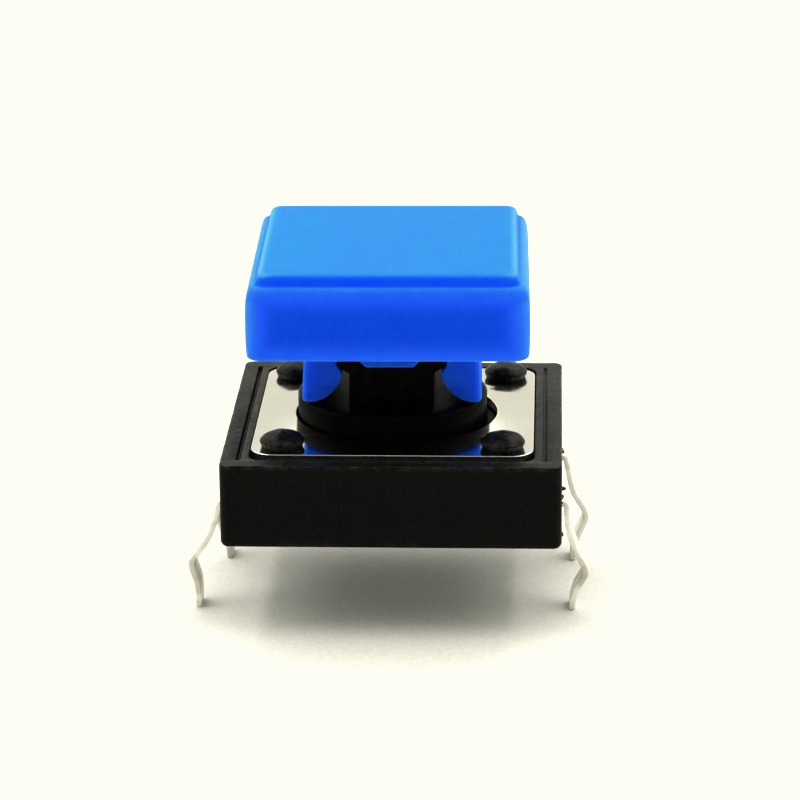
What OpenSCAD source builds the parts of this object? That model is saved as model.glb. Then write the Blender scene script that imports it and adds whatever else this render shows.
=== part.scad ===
// Tactile push-button switch for through-hole boards, with a square clip-on cap.
// Millimetres. The origin is the centre of the base's underside, which is the
// plane that seats on the board. +Z is up, along the button's axis, and the
// leads leave the base to the left (-X) and to the right (+X).

/* [Base] */
// Side of the square base
base_w = 12; // [11.8:0.05:12.2]
// Height of the base's walls above the seating plane
base_h = 3.02; // [3.00:0.01:3.06]
// Radius of the base's upright corners
base_corner_r = 0.3; // [0.15:0.05:0.4]
// Radius along the base's lower edges
base_foot_r = 0.1; // [0.05:0.05:0.25]
// Radius along the base's upper edges
base_rim_r = 0.06; // [0.03:0.01:0.1]
// Height of the well's floor above the seating plane
floor_z = 0.7; // [0.68:0.01:0.74]
// Radius of the round well that holds the plunger and the dome
well_r = 4.3; // [4.25:0.05:4.4]
// Width of the narrow relief slot on each side of the rim
slot_w = 0.14; // [0.1:0.01:0.16]
// Distance of the relief slots from the centre
slot_x = 5.38; // [5.34:0.01:5.42]
// Depth of the relief slots
slot_depth = 0.3; // [0.2:0.05:0.6]

/* [Cover plate] */
// Width of the cover plate from left to right
plate_w = 10.04; // [9.94:0.02:10.06]
// Depth of the cover plate from front to back
plate_d = 10.04; // [9.94:0.02:10.06]
// Thickness of the cover plate
plate_t = 0.3; // [0.26:0.01:0.34]
// How far the cover plate stands above the rim
plate_proud = 0.08; // [0.04:0.01:0.12]
// Radius of the cover plate's corners
plate_corner_r = 0.8; // [0.6:0.05:0.9]
// Radius of the hole that the plunger passes through
plate_hole_r = 3.65; // [3.6:0.01:3.7]

/* [Heat-staked posts] */
// Distance of the posts from the centre, left and right
post_x = 3.9; // [3.85:0.01:3.95]
// Distance of the posts from the centre, front and back
post_y = 4.0; // [3.95:0.01:4.05]
// Radius of a post's shank
post_r = 0.5; // [0.4:0.05:0.55]
// Radius of a post's mushroom head
post_head_r = 0.79; // [0.75:0.01:0.86]
// Height of a post's mushroom head above the cover plate
post_head_h = 0.56; // [0.4:0.02:0.56]

/* [Leads] */
// Thickness of the contact strips and their leads
lead_t = 0.22; // [0.18:0.01:0.22]
// Width of the leads
lead_w = 1; // [0.8:0.05:1.1]
// Distance from the centre to the middle of each lead, front and back
lead_y = 2.5; // [2.45:0.05:2.55]
// Depth of the lead tips below the seating plane
lead_drop = 3.5; // [3.4:0.05:3.6]

/* [Snap dome] */
// Radius of the dome's rim
dome_r = 3.3; // [3.2:0.05:3.35]
// Rise of the dome above the well's floor
dome_rise = 0.4; // [0.36:0.01:0.42]
// Thickness of the dome's sheet
dome_t = 0.07; // [0.06:0.01:0.09]
// Width of the dome between its two flat sides
dome_flat_w = 3.8; // [3.4:0.1:3.8]

/* [Plunger] */
// How far the plunger sits off centre in the hole, within its side play
play_x = -0.18; // [-0.18:0.01:0.18]
// How far the plunger and the cap are turned in the housing, within their play
play_turn = 0.9; // [-1.2:0.1:1.2]
// Radius of the round collar that shows in the hole
collar_r = 3.43; // [3.38:0.01:3.45]
// Height of the collar's top above the seating plane
collar_top_z = 3.95; // [3.90:0.01:3.97]
// Radius of the hidden flange that stops under the plate
flange_r = 4.05; // [3.95:0.01:4.08]
// Width of the stem's waist between the two undercuts
waist_w = 3; // [2.9:0.05:3.1]
// Side of the stem's square head
head_w = 3.8; // [3.75:0.01:3.82]
// Height of the head's top above the seating plane
head_top_z = 7.3; // [7.28:0.01:7.32]

/* [Cap] */
// Width of the cap from left to right
cap_w = 9.95; // [9.8:0.05:10.2]
// Depth of the cap from front to back
cap_d = 10.1; // [9.8:0.05:10.2]
// Height of the skirt's lower edge
cap_skirt_z = 6.54; // [6.5:0.01:6.7]
// Height of the shoulder round the raised panel
cap_shoulder_z = 9.18; // [9.14:0.01:9.24]
// Height of the raised panel's top
cap_top_z = 9.59; // [9.5:0.01:9.7]
// Width of the raised panel
panel_w = 9; // [8.8:0.05:9.2]
// Depth of the raised panel
panel_d = 9.45; // [9.2:0.05:9.6]
// Radius of the cap's upright corners
cap_corner_r = 0.6; // [0.4:0.05:0.8]
// Thickness of the skirt
skirt_t = 0.9; // [0.8:0.05:1.0]

/* [Hidden] */
$fn = 96;
eps = 0.02;

plate_top_z = base_h + plate_proud;
plate_bottom_z = plate_top_z - plate_t;
strip_z = floor_z - lead_t / 2;       // middle of the flat strips, flush with the floor
tongue_w = 1.2;                        // rear strip's centre contact
arm_w = 0.9;                           // front strip's two side contacts
arm_x = 3.15;
arm_end_y = 1.4;
flange_top_z = plate_bottom_z - 0.07;
flange_bottom_z = flange_top_z - 0.88;
lug_w = 1.3;                           // keys that stop the plunger from turning
lug_reach = 4.65;
groove_w = 1.6;
groove_reach = 4.97;
nub_bottom_z = floor_z + dome_rise + 0.03;
ceiling_z = cap_shoulder_z - 0.8;

// Each lead leaves the base level, turns down, kinks outwards so that it grips
// the board's hole, and turns back in. [x, z] along the middle of the strip,
// for a lead on the right side, with x counted outwards.
lead_front_right = [[6.10, strip_z], [6.18, 0.52], [6.20, 0.35], [6.22, 0.00],
    [6.31, -0.55], [6.45, -1.02], [6.61, -1.40], [6.80, -1.76], [6.88, -2.05],
    [6.79, -2.28], [6.58, -2.66], [6.46, -3.02], [6.41, -3.30], [6.41, -lead_drop]];
lead_front_left = [[6.12, strip_z], [6.24, 0.53], [6.34, 0.36], [6.47, -0.15],
    [6.67, -0.70], [6.92, -1.10], [7.17, -1.44], [7.35, -1.74], [7.32, -2.00],
    [7.19, -2.42], [7.12, -2.90], [7.12, -3.20], [7.13, -lead_drop]];
lead_rear_right = [[6.10, strip_z], [6.18, 0.53], [6.21, 0.38], [6.27, 0.05],
    [6.35, -0.38], [6.46, -0.78], [6.67, -1.14], [6.86, -1.48], [6.92, -1.80],
    [6.80, -2.15], [6.60, -2.62], [6.48, -3.00], [6.45, -3.30], [6.45, -lead_drop]];
lead_rear_left = [[6.10, strip_z], [6.19, 0.52], [6.23, 0.36], [6.26, 0.02],
    [6.34, -0.50], [6.46, -0.98], [6.62, -1.34], [6.78, -1.66], [6.83, -1.92],
    [6.74, -2.18], [6.58, -2.62], [6.47, -3.00], [6.42, -3.30], [6.42, -lead_drop]];

// Points on both sides of a path, with mitred bends, so that the strip keeps
// one thickness all the way.
function side_of(a, b) = let (d = (b - a) / norm(b - a)) [-d[1], d[0]];
function bisector(p, i) =
    let (m = i == 0 ? side_of(p[0], p[1]) : side_of(p[i - 1], p[i]),
         n = i == len(p) - 1 ? m : side_of(p[i], p[i + 1]))
    (m + n) / (1 + m * n);
function strip_outline(p, t) = concat(
    [for (i = [0 : len(p) - 1]) p[i] + bisector(p, i) * t / 2],
    [for (i = [len(p) - 1 : -1 : 0]) p[i] - bisector(p, i) * t / 2]);
function mirrored(p) = [for (i = [len(p) - 1 : -1 : 0]) [-p[i][0], p[i][1]]];

// A rectangle centred on x, standing on y = 0, with its lower and upper
// corners rounded to radii of their own.
module round_profile(w, h, r_low, r_high) {
    difference() {
        translate([-w / 2, 0]) square([w, h]);
        for (s = [-1, 1]) {
            translate([s * (w / 2 - r_low), r_low]) corner_waste(s, -1, r_low);
            translate([s * (w / 2 - r_high), h - r_high]) corner_waste(s, 1, r_high);
        }
    }
}

// What a rounded corner takes away, beyond the arc's centre at the origin.
module corner_waste(sx, sy, r) {
    difference() {
        translate([sx > 0 ? 0 : -r - eps, sy > 0 ? 0 : -r - eps]) square(r + eps);
        circle(r);
    }
}

// A centred rectangle with its four corners rounded.
module round_rect(w, d, r) {
    translate([0, -d / 2]) round_profile(w, d, r, r);
}

// A block with rounded upright corners and rounded lower and upper edges.
module soft_block(w, d, h, r_corner, r_low, r_high) {
    intersection() {
        linear_extrude(h) round_rect(w, d, r_corner);
        rotate([90, 0, 0]) translate([0, 0, -d]) linear_extrude(2 * d)
            round_profile(w, h, r_low, r_high);
        rotate([90, 0, 90]) translate([0, 0, -w]) linear_extrude(2 * w)
            round_profile(d, h, r_low, r_high);
    }
}

module at_posts() {
    for (x = [-post_x, post_x], y = [-post_y, post_y]) translate([x, y, 0]) children();
}

// A contact strip with the lead at each of its ends, as one bent stamping.
module bent_strip(left, right, y) {
    path = concat(mirrored(left), right);
    translate([0, y + lead_w / 2, 0]) rotate([90, 0, 0]) linear_extrude(lead_w)
        polygon(strip_outline(path, lead_t));
}

module side_arms() {
    for (s = [-1, 1])
        translate([s * arm_x - arm_w / 2, -lead_y, floor_z - lead_t])
            cube([arm_w, lead_y + arm_end_y, lead_t]);
}

module centre_tongue() {
    translate([-tongue_w / 2, -0.6, floor_z - lead_t])
        cube([tongue_w, lead_y + 0.6, lead_t]);
}

// The level part of both strips, as the base is moulded round them.
module strip_channels() {
    for (s = [-1, 1])
        translate([-base_w / 2 - 1, s * lead_y - lead_w / 2, floor_z - lead_t])
            cube([base_w + 2, lead_w, lead_t]);
    side_arms();
    centre_tongue();
}

// Black moulded base with its four posts, whose tops are melted into
// mushroom heads over the cover plate.
module base() {
    color("#232322") union() {
        difference() {
            soft_block(base_w, base_w, base_h, base_corner_r, base_foot_r, base_rim_r);
            // shallow seat for the cover plate, longer than the plate front to back
            translate([0, 0, plate_bottom_z]) linear_extrude(1)
                round_rect(plate_w + 0.03, plate_d + 0.72, plate_corner_r - 0.2);
            // round well, with two grooves that keep the plunger from turning
            translate([0, 0, floor_z]) cylinder(r = well_r, h = 4);
            translate([-groove_reach, -groove_w / 2, floor_z + 0.6])
                cube([2 * groove_reach, groove_w, 4]);
            // relief slots in the left and right rim
            for (s = [-1, 1])
                translate([s * slot_x - slot_w / 2, -5.32, base_h - slot_depth])
                    cube([slot_w, 10.64, 1]);
            strip_channels();
        }
        at_posts() {
            translate([0, 0, plate_bottom_z - 0.2])
                cylinder(r = post_r, h = plate_t + 0.3);
            translate([0, 0, plate_top_z]) mushroom_head();
        }
    }
}

// A melted post top: drawn in under its rim, widest a little above the plate,
// and domed over.
module mushroom_head() {
    r = post_head_r;
    h = post_head_h;
    rotate_extrude() intersection() {
        union() {
            polygon([[0, 0], [0.94 * r, 0], [0.98 * r, 0.05], [0.9 * r, 0.1],
                     [r, 0.17], [r, 0.22], [0, 0.22]]);
            translate([0, 0.22 - (r * r - (h - 0.22) * (h - 0.22)) / (2 * (h - 0.22))])
                circle(r = (r * r + (h - 0.22) * (h - 0.22)) / (2 * (h - 0.22)));
        }
        square([r, h]);
    }
}

// Bright stamped cover plate, held down by the four posts.
module cover_plate() {
    color("#d8d8d2") translate([0, 0, plate_bottom_z]) linear_extrude(plate_t)
        difference() {
            round_rect(plate_w, plate_d, plate_corner_r);
            circle(plate_hole_r);
            for (x = [-post_x, post_x], y = [-post_y, post_y])
                translate([x, y]) circle(post_r + 0.04);
        }
}

// Front strip: its two side arms carry the dome's rim.
module contact_strip_front() {
    color("#cfccbf") union() {
        bent_strip(lead_front_left, lead_front_right, -lead_y);
        side_arms();
    }
}

// Rear strip: its tongue carries the contact under the dome's middle.
module contact_strip_rear() {
    color("#cfccbf") union() {
        bent_strip(lead_rear_left, lead_rear_right, lead_y);
        centre_tongue();
        translate([0, 0, floor_z - lead_t / 2])
            cylinder(r = 0.4, h = lead_t / 2 + 0.05);
    }
}

// Sprung dome between the two strips: a shallow spherical cap with two sides
// cut straight, so that it clears the rear strip.
module snap_dome() {
    outer_r = (dome_r * dome_r + dome_rise * dome_rise) / (2 * dome_rise);
    color("#c9c7bd") intersection() {
        translate([0, 0, floor_z + dome_rise - outer_r]) difference() {
            sphere(r = outer_r, $fn = 256);
            sphere(r = outer_r - dome_t, $fn = 256);
        }
        translate([-dome_r - 1, -dome_flat_w / 2, floor_z])
            cube([2 * dome_r + 2, dome_flat_w, dome_rise + 1]);
    }
}

// Black moulded plunger: a nub that presses the dome, a keyed flange under the
// plate, a round collar in its hole, and a square stem undercut left and right.
module plunger() {
    hw = head_w / 2;
    ww = waist_w / 2;
    color("#1b1b1b") translate([play_x, 0, 0]) rotate([0, 0, play_turn]) union() {
        rotate_extrude() polygon([[0, nub_bottom_z], [0.9, nub_bottom_z],
            [1.1, nub_bottom_z + 0.2], [1.1, flange_bottom_z],
            [flange_r, flange_bottom_z], [flange_r, flange_top_z],
            [collar_r, flange_top_z], [collar_r, collar_top_z - 0.1],
            [collar_r - 0.1, collar_top_z], [0, collar_top_z]]);
        translate([-lug_reach, -lug_w / 2, flange_bottom_z])
            cube([2 * lug_reach, lug_w, flange_top_z - flange_bottom_z]);
        intersection() {
            rotate([90, 0, 0]) translate([0, 0, -hw]) linear_extrude(head_w)
                polygon([[-ww, collar_top_z - 0.1], [ww, collar_top_z - 0.1],
                    [ww, 5.1], [hw, 5.35], [hw, head_top_z - 0.25],
                    [hw - 0.2, head_top_z], [0.2 - hw, head_top_z],
                    [-hw, head_top_z - 0.25], [-hw, 5.35], [-ww, 5.1]]);
            rotate([90, 0, 90]) translate([0, 0, -hw - 1]) linear_extrude(head_w + 2)
                polygon([[-hw, collar_top_z - 0.1], [hw, collar_top_z - 0.1],
                    [hw, head_top_z - 0.25], [hw - 0.2, head_top_z],
                    [0.2 - hw, head_top_z], [-hw, head_top_z - 0.25]]);
        }
    }
}

// One of the cap's claws, which catches under the head. x is counted outwards.
module claw() {
    rotate([90, 0, 0]) translate([0, 0, -1.9]) linear_extrude(3.8)
        polygon([[3.12, ceiling_z + 0.2], [3.14, 5.6], [3.19, 4.8], [3.22, 4.15],
            [3.17, 4.03], [3.06, 3.99], [2.86, 4.0], [2.60, 4.08], [2.38, 4.25],
            [2.1, 4.6], [1.84, 4.9], [1.78, 5.0], [1.8, 5.08], [1.96, 5.42],
            [1.96, ceiling_z + 0.2]]);
}

// Blue moulded cap: a hollow skirt with a raised panel on top, and under it a
// socket of two claws and two tapered walls round the plunger's head.
module cap() {
    color("#1f86f0") translate([play_x, 0, 0]) rotate([0, 0, play_turn]) union() {
        difference() {
            union() {
                translate([0, 0, cap_skirt_z])
                    soft_block(cap_w, cap_d, cap_shoulder_z - cap_skirt_z,
                               cap_corner_r, 0.1, 0.25);
                translate([0, 0, cap_shoulder_z - 0.3])
                    soft_block(panel_w, panel_d, cap_top_z - cap_shoulder_z + 0.3,
                               0.5, 0.05, 0.15);
            }
            translate([0, 0, cap_skirt_z - 1])
                linear_extrude(ceiling_z - cap_skirt_z + 1)
                    round_rect(cap_w - 2 * skirt_t, cap_d - 2 * skirt_t, 0.3);
        }
        claw();
        mirror([1, 0, 0]) claw();
        // front and rear walls of the socket
        for (s = [-1, 1])
            translate([0, s * 2.28 + 0.32, 0]) rotate([90, 0, 0]) linear_extrude(0.64)
                polygon([[-0.84, 5.45], [0.84, 5.45], [1.9, 6.51],
                    [1.9, ceiling_z + 0.2], [-1.9, ceiling_z + 0.2], [-1.9, 6.51]]);
        // ribs that bear on the head
        translate([-2.2, -0.3, head_top_z]) cube([4.4, 0.6, ceiling_z + 0.2 - head_top_z]);
        translate([-0.3, -2.2, head_top_z]) cube([0.6, 4.4, ceiling_z + 0.2 - head_top_z]);
    }
}

base();
cover_plate();
contact_strip_front();
contact_strip_rear();
snap_dome();
plunger();
cap();
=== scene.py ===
import math
import random

import bpy
import numpy as np
from mathutils import Matrix, Vector, noise
from mathutils.geometry import tessellate_polygon


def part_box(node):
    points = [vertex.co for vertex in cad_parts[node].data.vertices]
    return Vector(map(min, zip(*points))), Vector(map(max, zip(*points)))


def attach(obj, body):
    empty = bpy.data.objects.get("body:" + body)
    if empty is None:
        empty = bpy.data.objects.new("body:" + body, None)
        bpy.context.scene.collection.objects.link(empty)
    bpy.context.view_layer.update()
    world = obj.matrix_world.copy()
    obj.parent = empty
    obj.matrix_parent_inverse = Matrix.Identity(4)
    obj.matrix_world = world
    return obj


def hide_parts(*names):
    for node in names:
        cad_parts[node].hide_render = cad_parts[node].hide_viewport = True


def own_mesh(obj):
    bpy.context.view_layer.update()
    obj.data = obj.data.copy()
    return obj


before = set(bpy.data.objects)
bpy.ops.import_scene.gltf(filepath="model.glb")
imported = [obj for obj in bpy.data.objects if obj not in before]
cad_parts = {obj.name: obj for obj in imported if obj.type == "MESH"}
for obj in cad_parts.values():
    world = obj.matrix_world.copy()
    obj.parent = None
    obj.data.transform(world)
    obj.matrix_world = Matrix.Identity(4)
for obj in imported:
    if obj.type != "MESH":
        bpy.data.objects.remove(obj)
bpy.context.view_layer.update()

MM = 0.001
SEED = 11

# ---------------------------------------------------------------------------
# The part's sizes in millimetres, in the row frame. Those that the frame can
# give are read from it.
# ---------------------------------------------------------------------------


def box_mm(node):
    low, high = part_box(node)
    return [c / MM for c in low], [c / MM for c in high]


base_low, base_high = box_mm("base")
plate_low, plate_high = box_mm("cover_plate")
plunger_low, plunger_high = box_mm("plunger")
cap_low, cap_high = box_mm("cap")
dome_low, dome_high = box_mm("snap_dome")

BASE_W = base_high[0] - base_low[0]
BASE_H = 3.02
SLOT_X = 5.38
CLAW_X, STEM_X = 0.05, 0.03
FLOOR_Z = dome_low[2]
PLATE_W = plate_high[0] - plate_low[0]
PLATE_D = plate_high[1] - plate_low[1]
PLATE_TOP, PLATE_BOTTOM = plate_high[2], plate_low[2]
HOLE_R = 3.65
POST_X, POST_Y = 3.9, 4.0
POST_HEAD_R, POST_HEAD_H = 0.79, 0.58
PLAY_X = (cap_low[0] + cap_high[0]) / 2
TURN = math.radians(0.9)
CAP_W, CAP_D = 9.95, 10.1
CAP_TOP = cap_high[2]
SKIRT_Z, SHOULDER_Z, CEILING_Z = 6.54, 9.18, 8.38
HEAD_TOP = plunger_high[2]
COLLAR_R, COLLAR_TOP = 3.43, 3.95
FLANGE_R = 4.05
LEAD_T, LEAD_W, LEAD_Y, LEAD_DROP = 0.22, 1.0, 2.5, 3.5


# ---------------------------------------------------------------------------
# Mesh helpers. A Shape collects rings of points and the faces between them.
# Every point carries a weight that says how near it is to a worn edge; on the cap and the post heads the same weight
# paints a paler highlight.
# ---------------------------------------------------------------------------


class Shape:
    def __init__(self):
        self.v, self.f, self.wear_and_painted_light = [], [], []

    def ring(self, points, wear_and_painted_light=0.0):
        first = len(self.v)
        self.v.extend([tuple(p) for p in points])
        self.wear_and_painted_light.extend([wear_and_painted_light] * len(points))
        return list(range(first, len(self.v)))

    def bridge(self, a, b, flip=False, closed=True):
        n = len(a)
        for i in range(n if closed else n - 1):
            j = (i + 1) % n
            q = (a[i], a[j], b[j], b[i])
            self.f.append(q[::-1] if flip else q)

    def fill(self, normal, outer, *holes):
        loops = [outer, *holes]
        flat = [i for loop in loops for i in loop]
        tris = tessellate_polygon([[Vector(self.v[i]) for i in loop] for loop in loops])
        want = Vector(normal)
        for t in tris:
            ids = [flat[k] for k in t]
            p = [Vector(self.v[i]) for i in ids]
            n = (p[1] - p[0]).cross(p[2] - p[0])
            if n.length < 1e-9:
                continue
            self.f.append(tuple(ids) if n.dot(want) > 0 else tuple(ids[::-1]))

    def grid(self, rows, flip=False):
        """Faces over open rows of ring indices."""
        for a, b in zip(rows, rows[1:]):
            self.bridge(a, b, flip, closed=False)

    def add(self, other):
        first = len(self.v)
        self.v.extend(other.v)
        self.wear_and_painted_light.extend(other.wear_and_painted_light)
        self.f.extend([tuple(i + first for i in q) for q in other.f])
        return self

    def moved(self, x=0.0, y=0.0, z=0.0):
        self.v = [(a + x, b + y, c + z) for a, b, c in self.v]
        return self

    def turned(self, angle):
        c, t = math.cos(angle), math.sin(angle)
        self.v = [(a * c - b * t, a * t + b * c, z) for a, b, z in self.v]
        return self

    def mapped(self, rule, flip=False):
        self.v = [tuple(rule(*p)) for p in self.v]
        if flip:
            self.f = [q[::-1] for q in self.f]
        return self

    def object(self, name, material, body, node, slot, sharp=50.0):
        mesh = bpy.data.meshes.new(name)
        mesh.from_pydata([(a * MM, b * MM, c * MM) for a, b, c in self.v], [], self.f)
        wear_and_painted_light = mesh.attributes.new("wear_and_painted_light", "FLOAT", "POINT")
        wear_and_painted_light.data.foreach_set("value", np.array(self.wear_and_painted_light, np.float32))
        mesh.update()
        mesh.validate(clean_customdata=False)
        mesh.polygons.foreach_set("use_smooth", np.ones(len(mesh.polygons), bool))
        mesh.set_sharp_from_angle(angle=math.radians(sharp))
        mesh.materials.append(material)
        made = bpy.data.objects.new(name, mesh)
        bpy.context.scene.collection.objects.link(made)
        keep = made.modifiers.new("even_shading", "WEIGHTED_NORMAL")
        keep.mode, keep.weight, keep.keep_sharp = "FACE_AREA", 80, True
        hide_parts(node)
        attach(made, body)
        return made


def rounded(w, d, r, z, corner=8, along=0, cx=0.0, cy=0.0):
    """A rounded rectangle as a ring, anticlockwise from above."""
    r = max(r, 1e-4)
    points = []
    for q in range(4):
        sx, sy = ((1, 1), (-1, 1), (-1, -1), (1, -1))[q]
        ox, oy = sx * (w / 2 - r), sy * (d / 2 - r)
        arc = [q * math.pi / 2 + math.pi / 2 * k / corner for k in range(corner + 1)]
        points += [(ox + r * math.cos(a), oy + r * math.sin(a)) for a in arc]
        if along:
            nx, ny = ((-1, 1), (-1, -1), (1, -1), (1, 1))[q]
            end = points[-1]
            a = (q + 1) * math.pi / 2
            start = (nx * (w / 2 - r) + r * math.cos(a), ny * (d / 2 - r) + r * math.sin(a))
            points += [
                (end[0] + (start[0] - end[0]) * k / (along + 1), end[1] + (start[1] - end[1]) * k / (along + 1))
                for k in range(1, along + 1)
            ]
    return [(x + cx, y + cy, z) for x, y in points]


def circle(r, z, n, cx=0.0, cy=0.0, turn=0.0):
    return [
        (cx + r * math.cos(turn + 2 * math.pi * k / n), cy + r * math.sin(turn + 2 * math.pi * k / n), z)
        for k in range(n)
    ]


def arc(cx, cy, r, a0, a1, n):
    return [
        (cx + r * math.cos(math.radians(a0 + (a1 - a0) * k / n)), cy + r * math.sin(math.radians(a0 + (a1 - a0) * k / n)))
        for k in range(n + 1)
    ]


def revolve(profile, n, wear_and_painted_light=None, close_low=True, close_high=True):
    """profile: (r, z) from the low axis end to the high one, outside on the right."""
    s = Shape()
    rings = []
    for i, (r, z) in enumerate(profile):
        rings.append(s.ring(circle(max(r, 1e-4), z, n), wear_and_painted_light[i] if wear_and_painted_light else 0.0))
    for a, b in zip(rings, rings[1:]):
        s.bridge(a, b)
    if close_low:
        s.fill((0, 0, -1), rings[0])
    if close_high:
        s.fill((0, 0, 1), rings[-1])
    return s


def inset(loop, t):
    """A closed 2-D loop (anticlockwise) moved inwards by t along its mitred normals."""
    n = len(loop)
    out = []
    for i in range(n):
        a, b, c = (Vector(loop[i - 1]), Vector(loop[i]), Vector(loop[(i + 1) % n]))
        d1, d2 = (b - a).normalized(), (c - b).normalized()
        n1, n2 = Vector((d1.y, -d1.x)), Vector((d2.y, -d2.x))
        m = n1 + n2
        m = m / max(1e-6, 1 + n1.dot(n2))
        out.append(tuple(b - m * t))
    return out


def soften(loop, radii, n=4):
    """Rounds a polygon's corners. radii is one number, or one for each corner."""
    out = []
    count = len(loop)
    for i in range(count):
        r = radii if isinstance(radii, (int, float)) else radii[i]
        a, b, c = Vector(loop[i - 1]), Vector(loop[i]), Vector(loop[(i + 1) % count])
        u, w = (a - b), (c - b)
        lu, lw = u.length, w.length
        u.normalize()
        w.normalize()
        cosine = max(-1.0, min(1.0, u.dot(w)))
        half = math.acos(cosine) / 2
        if r <= 0 or half > math.radians(88):
            out.append(tuple(b))
            continue
        t = min(r / math.tan(half), lu * 0.45, lw * 0.45)
        rr = t * math.tan(half)
        mid = (u + w).normalized()
        centre = b + mid * (rr / math.sin(half))
        p0, p1 = b + u * t, b + w * t
        a0 = math.atan2(p0.y - centre.y, p0.x - centre.x)
        a1 = math.atan2(p1.y - centre.y, p1.x - centre.x)
        while a1 - a0 > math.pi:
            a1 -= 2 * math.pi
        while a1 - a0 < -math.pi:
            a1 += 2 * math.pi
        out += [
            (centre.x + rr * math.cos(a0 + (a1 - a0) * k / n), centre.y + rr * math.sin(a0 + (a1 - a0) * k / n))
            for k in range(n + 1)
        ]
    return out


def prism(loop, low, high, fillet, place, seg=3, wear_and_painted_light=1.0):
    """A closed loop (anticlockwise) pushed from low to high, with both end edges rounded.
    place turns (a, b, h) into x, y, z."""
    s = Shape()
    rings = []
    steps = [(fillet * (1 - math.sin(math.pi / 2 * k / seg)), fillet * (1 - math.cos(math.pi / 2 * k / seg))) for k in range(seg + 1)]
    for t, h in steps:
        pts = inset(loop, t) if t > 1e-9 else loop
        rings.append(s.ring([place(a, b, low + h) for a, b in pts], wear_and_painted_light if 0 < h < fillet or t > 0 else 0.3))
    for t, h in reversed(steps):
        pts = inset(loop, t) if t > 1e-9 else loop
        rings.append(s.ring([place(a, b, high - h) for a, b in pts], wear_and_painted_light if 0 < h < fillet or t > 0 else 0.3))
    for a, b in zip(rings, rings[1:]):
        s.bridge(a, b)
    down = Vector(place(0, 0, -1)) - Vector(place(0, 0, 0))
    s.fill(down, rings[0])
    s.fill(-down, rings[-1])
    # faces wind outwards if the loop is anticlockwise in a right-handed (a, b, h)
    ex = Vector(place(1, 0, 0)) - Vector(place(0, 0, 0))
    ey = Vector(place(0, 1, 0)) - Vector(place(0, 0, 0))
    if ex.cross(ey).dot(-down) < 0:
        n_side = (len(rings) - 1) * len(loop)
        s.f = [q[::-1] if i < n_side else q for i, q in enumerate(s.f)]
    return s


# ---------------------------------------------------------------------------
# Materials
# ---------------------------------------------------------------------------


class Nodes:
    """Short names for making shader nodes."""

    def __init__(self, name):
        self.material = bpy.data.materials.new(name)
        self.material.use_nodes = True
        self.tree = self.material.node_tree
        self.tree.nodes.clear()
        self.out = self.tree.nodes.new("ShaderNodeOutputMaterial")
        self.shader = self.tree.nodes.new("ShaderNodeBsdfPrincipled")
        self.tree.links.new(self.shader.outputs[0], self.out.inputs[0])
        self.place = self.tree.nodes.new("ShaderNodeTexCoord").outputs["Object"]

    def set(self, **values):
        for name, value in values.items():
            self.shader.inputs[name.replace("_", " ")].default_value = value

    def link(self, a, b):
        self.tree.links.new(a, b)
        return a

    def node(self, kind, **props):
        made = self.tree.nodes.new(kind)
        for k, v in props.items():
            setattr(made, k, v)
        return made

    def scaled(self, x, y, z, turn=(0, 0, 0)):
        m = self.node("ShaderNodeMapping")
        m.inputs["Scale"].default_value = (x, y, z)
        m.inputs["Rotation"].default_value = turn
        self.link(self.place, m.inputs["Vector"])
        return m.outputs[0]

    def noise(self, scale, detail=4.0, rough=0.55, where=None, distort=0.0):
        """Noise at a scale given in features per millimetre."""
        n = self.node("ShaderNodeTexNoise")
        n.inputs["Scale"].default_value = scale * 1000
        n.inputs["Detail"].default_value = detail
        n.inputs["Roughness"].default_value = rough
        n.inputs["Distortion"].default_value = distort
        self.link(where or self.place, n.inputs["Vector"])
        return n.outputs["Fac"]

    def cells(self, scale, feature="F1", where=None, random_=1.0, out="Distance"):
        n = self.node("ShaderNodeTexVoronoi", feature=feature)
        n.inputs["Scale"].default_value = scale * 1000
        n.inputs["Randomness"].default_value = random_
        self.link(where or self.place, n.inputs["Vector"])
        return n.outputs[out]

    def remap(self, value, low, high, to_low=0.0, to_high=1.0, smooth=True):
        n = self.node("ShaderNodeMapRange", interpolation_type="SMOOTHSTEP" if smooth else "LINEAR")
        n.inputs["From Min"].default_value = low
        n.inputs["From Max"].default_value = high
        n.inputs["To Min"].default_value = to_low
        n.inputs["To Max"].default_value = to_high
        self.link(value, n.inputs["Value"])
        return n.outputs["Result"]

    def math(self, operation, a, b=None, clamp=False):
        n = self.node("ShaderNodeMath", operation=operation, use_clamp=clamp)
        for i, v in enumerate((a, b)):
            if v is None:
                continue
            if isinstance(v, (int, float)):
                n.inputs[i].default_value = v
            else:
                self.link(v, n.inputs[i])
        return n.outputs[0]

    def mix(self, factor, a, b):
        n = self.node("ShaderNodeMix", data_type="RGBA")
        for socket, v in ((n.inputs[0], factor), (n.inputs[6], a), (n.inputs[7], b)):
            if isinstance(v, (int, float)):
                socket.default_value = v
            elif isinstance(v, tuple):
                socket.default_value = (*v, 1.0) if len(v) == 3 else v
            else:
                self.link(v, socket)
        return n.outputs[2]

    def wear_and_painted_light(self):
        n = self.node("ShaderNodeAttribute", attribute_name="wear_and_painted_light", attribute_type="GEOMETRY")
        return n.outputs["Fac"]

    def bump(self, height, strength, distance_mm, onto=None):
        n = self.node("ShaderNodeBump")
        n.inputs["Strength"].default_value = strength
        n.inputs["Distance"].default_value = distance_mm * MM
        self.link(height, n.inputs["Height"])
        if onto is not None:
            self.link(onto, n.inputs["Normal"])
        return n.outputs[0]


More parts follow.
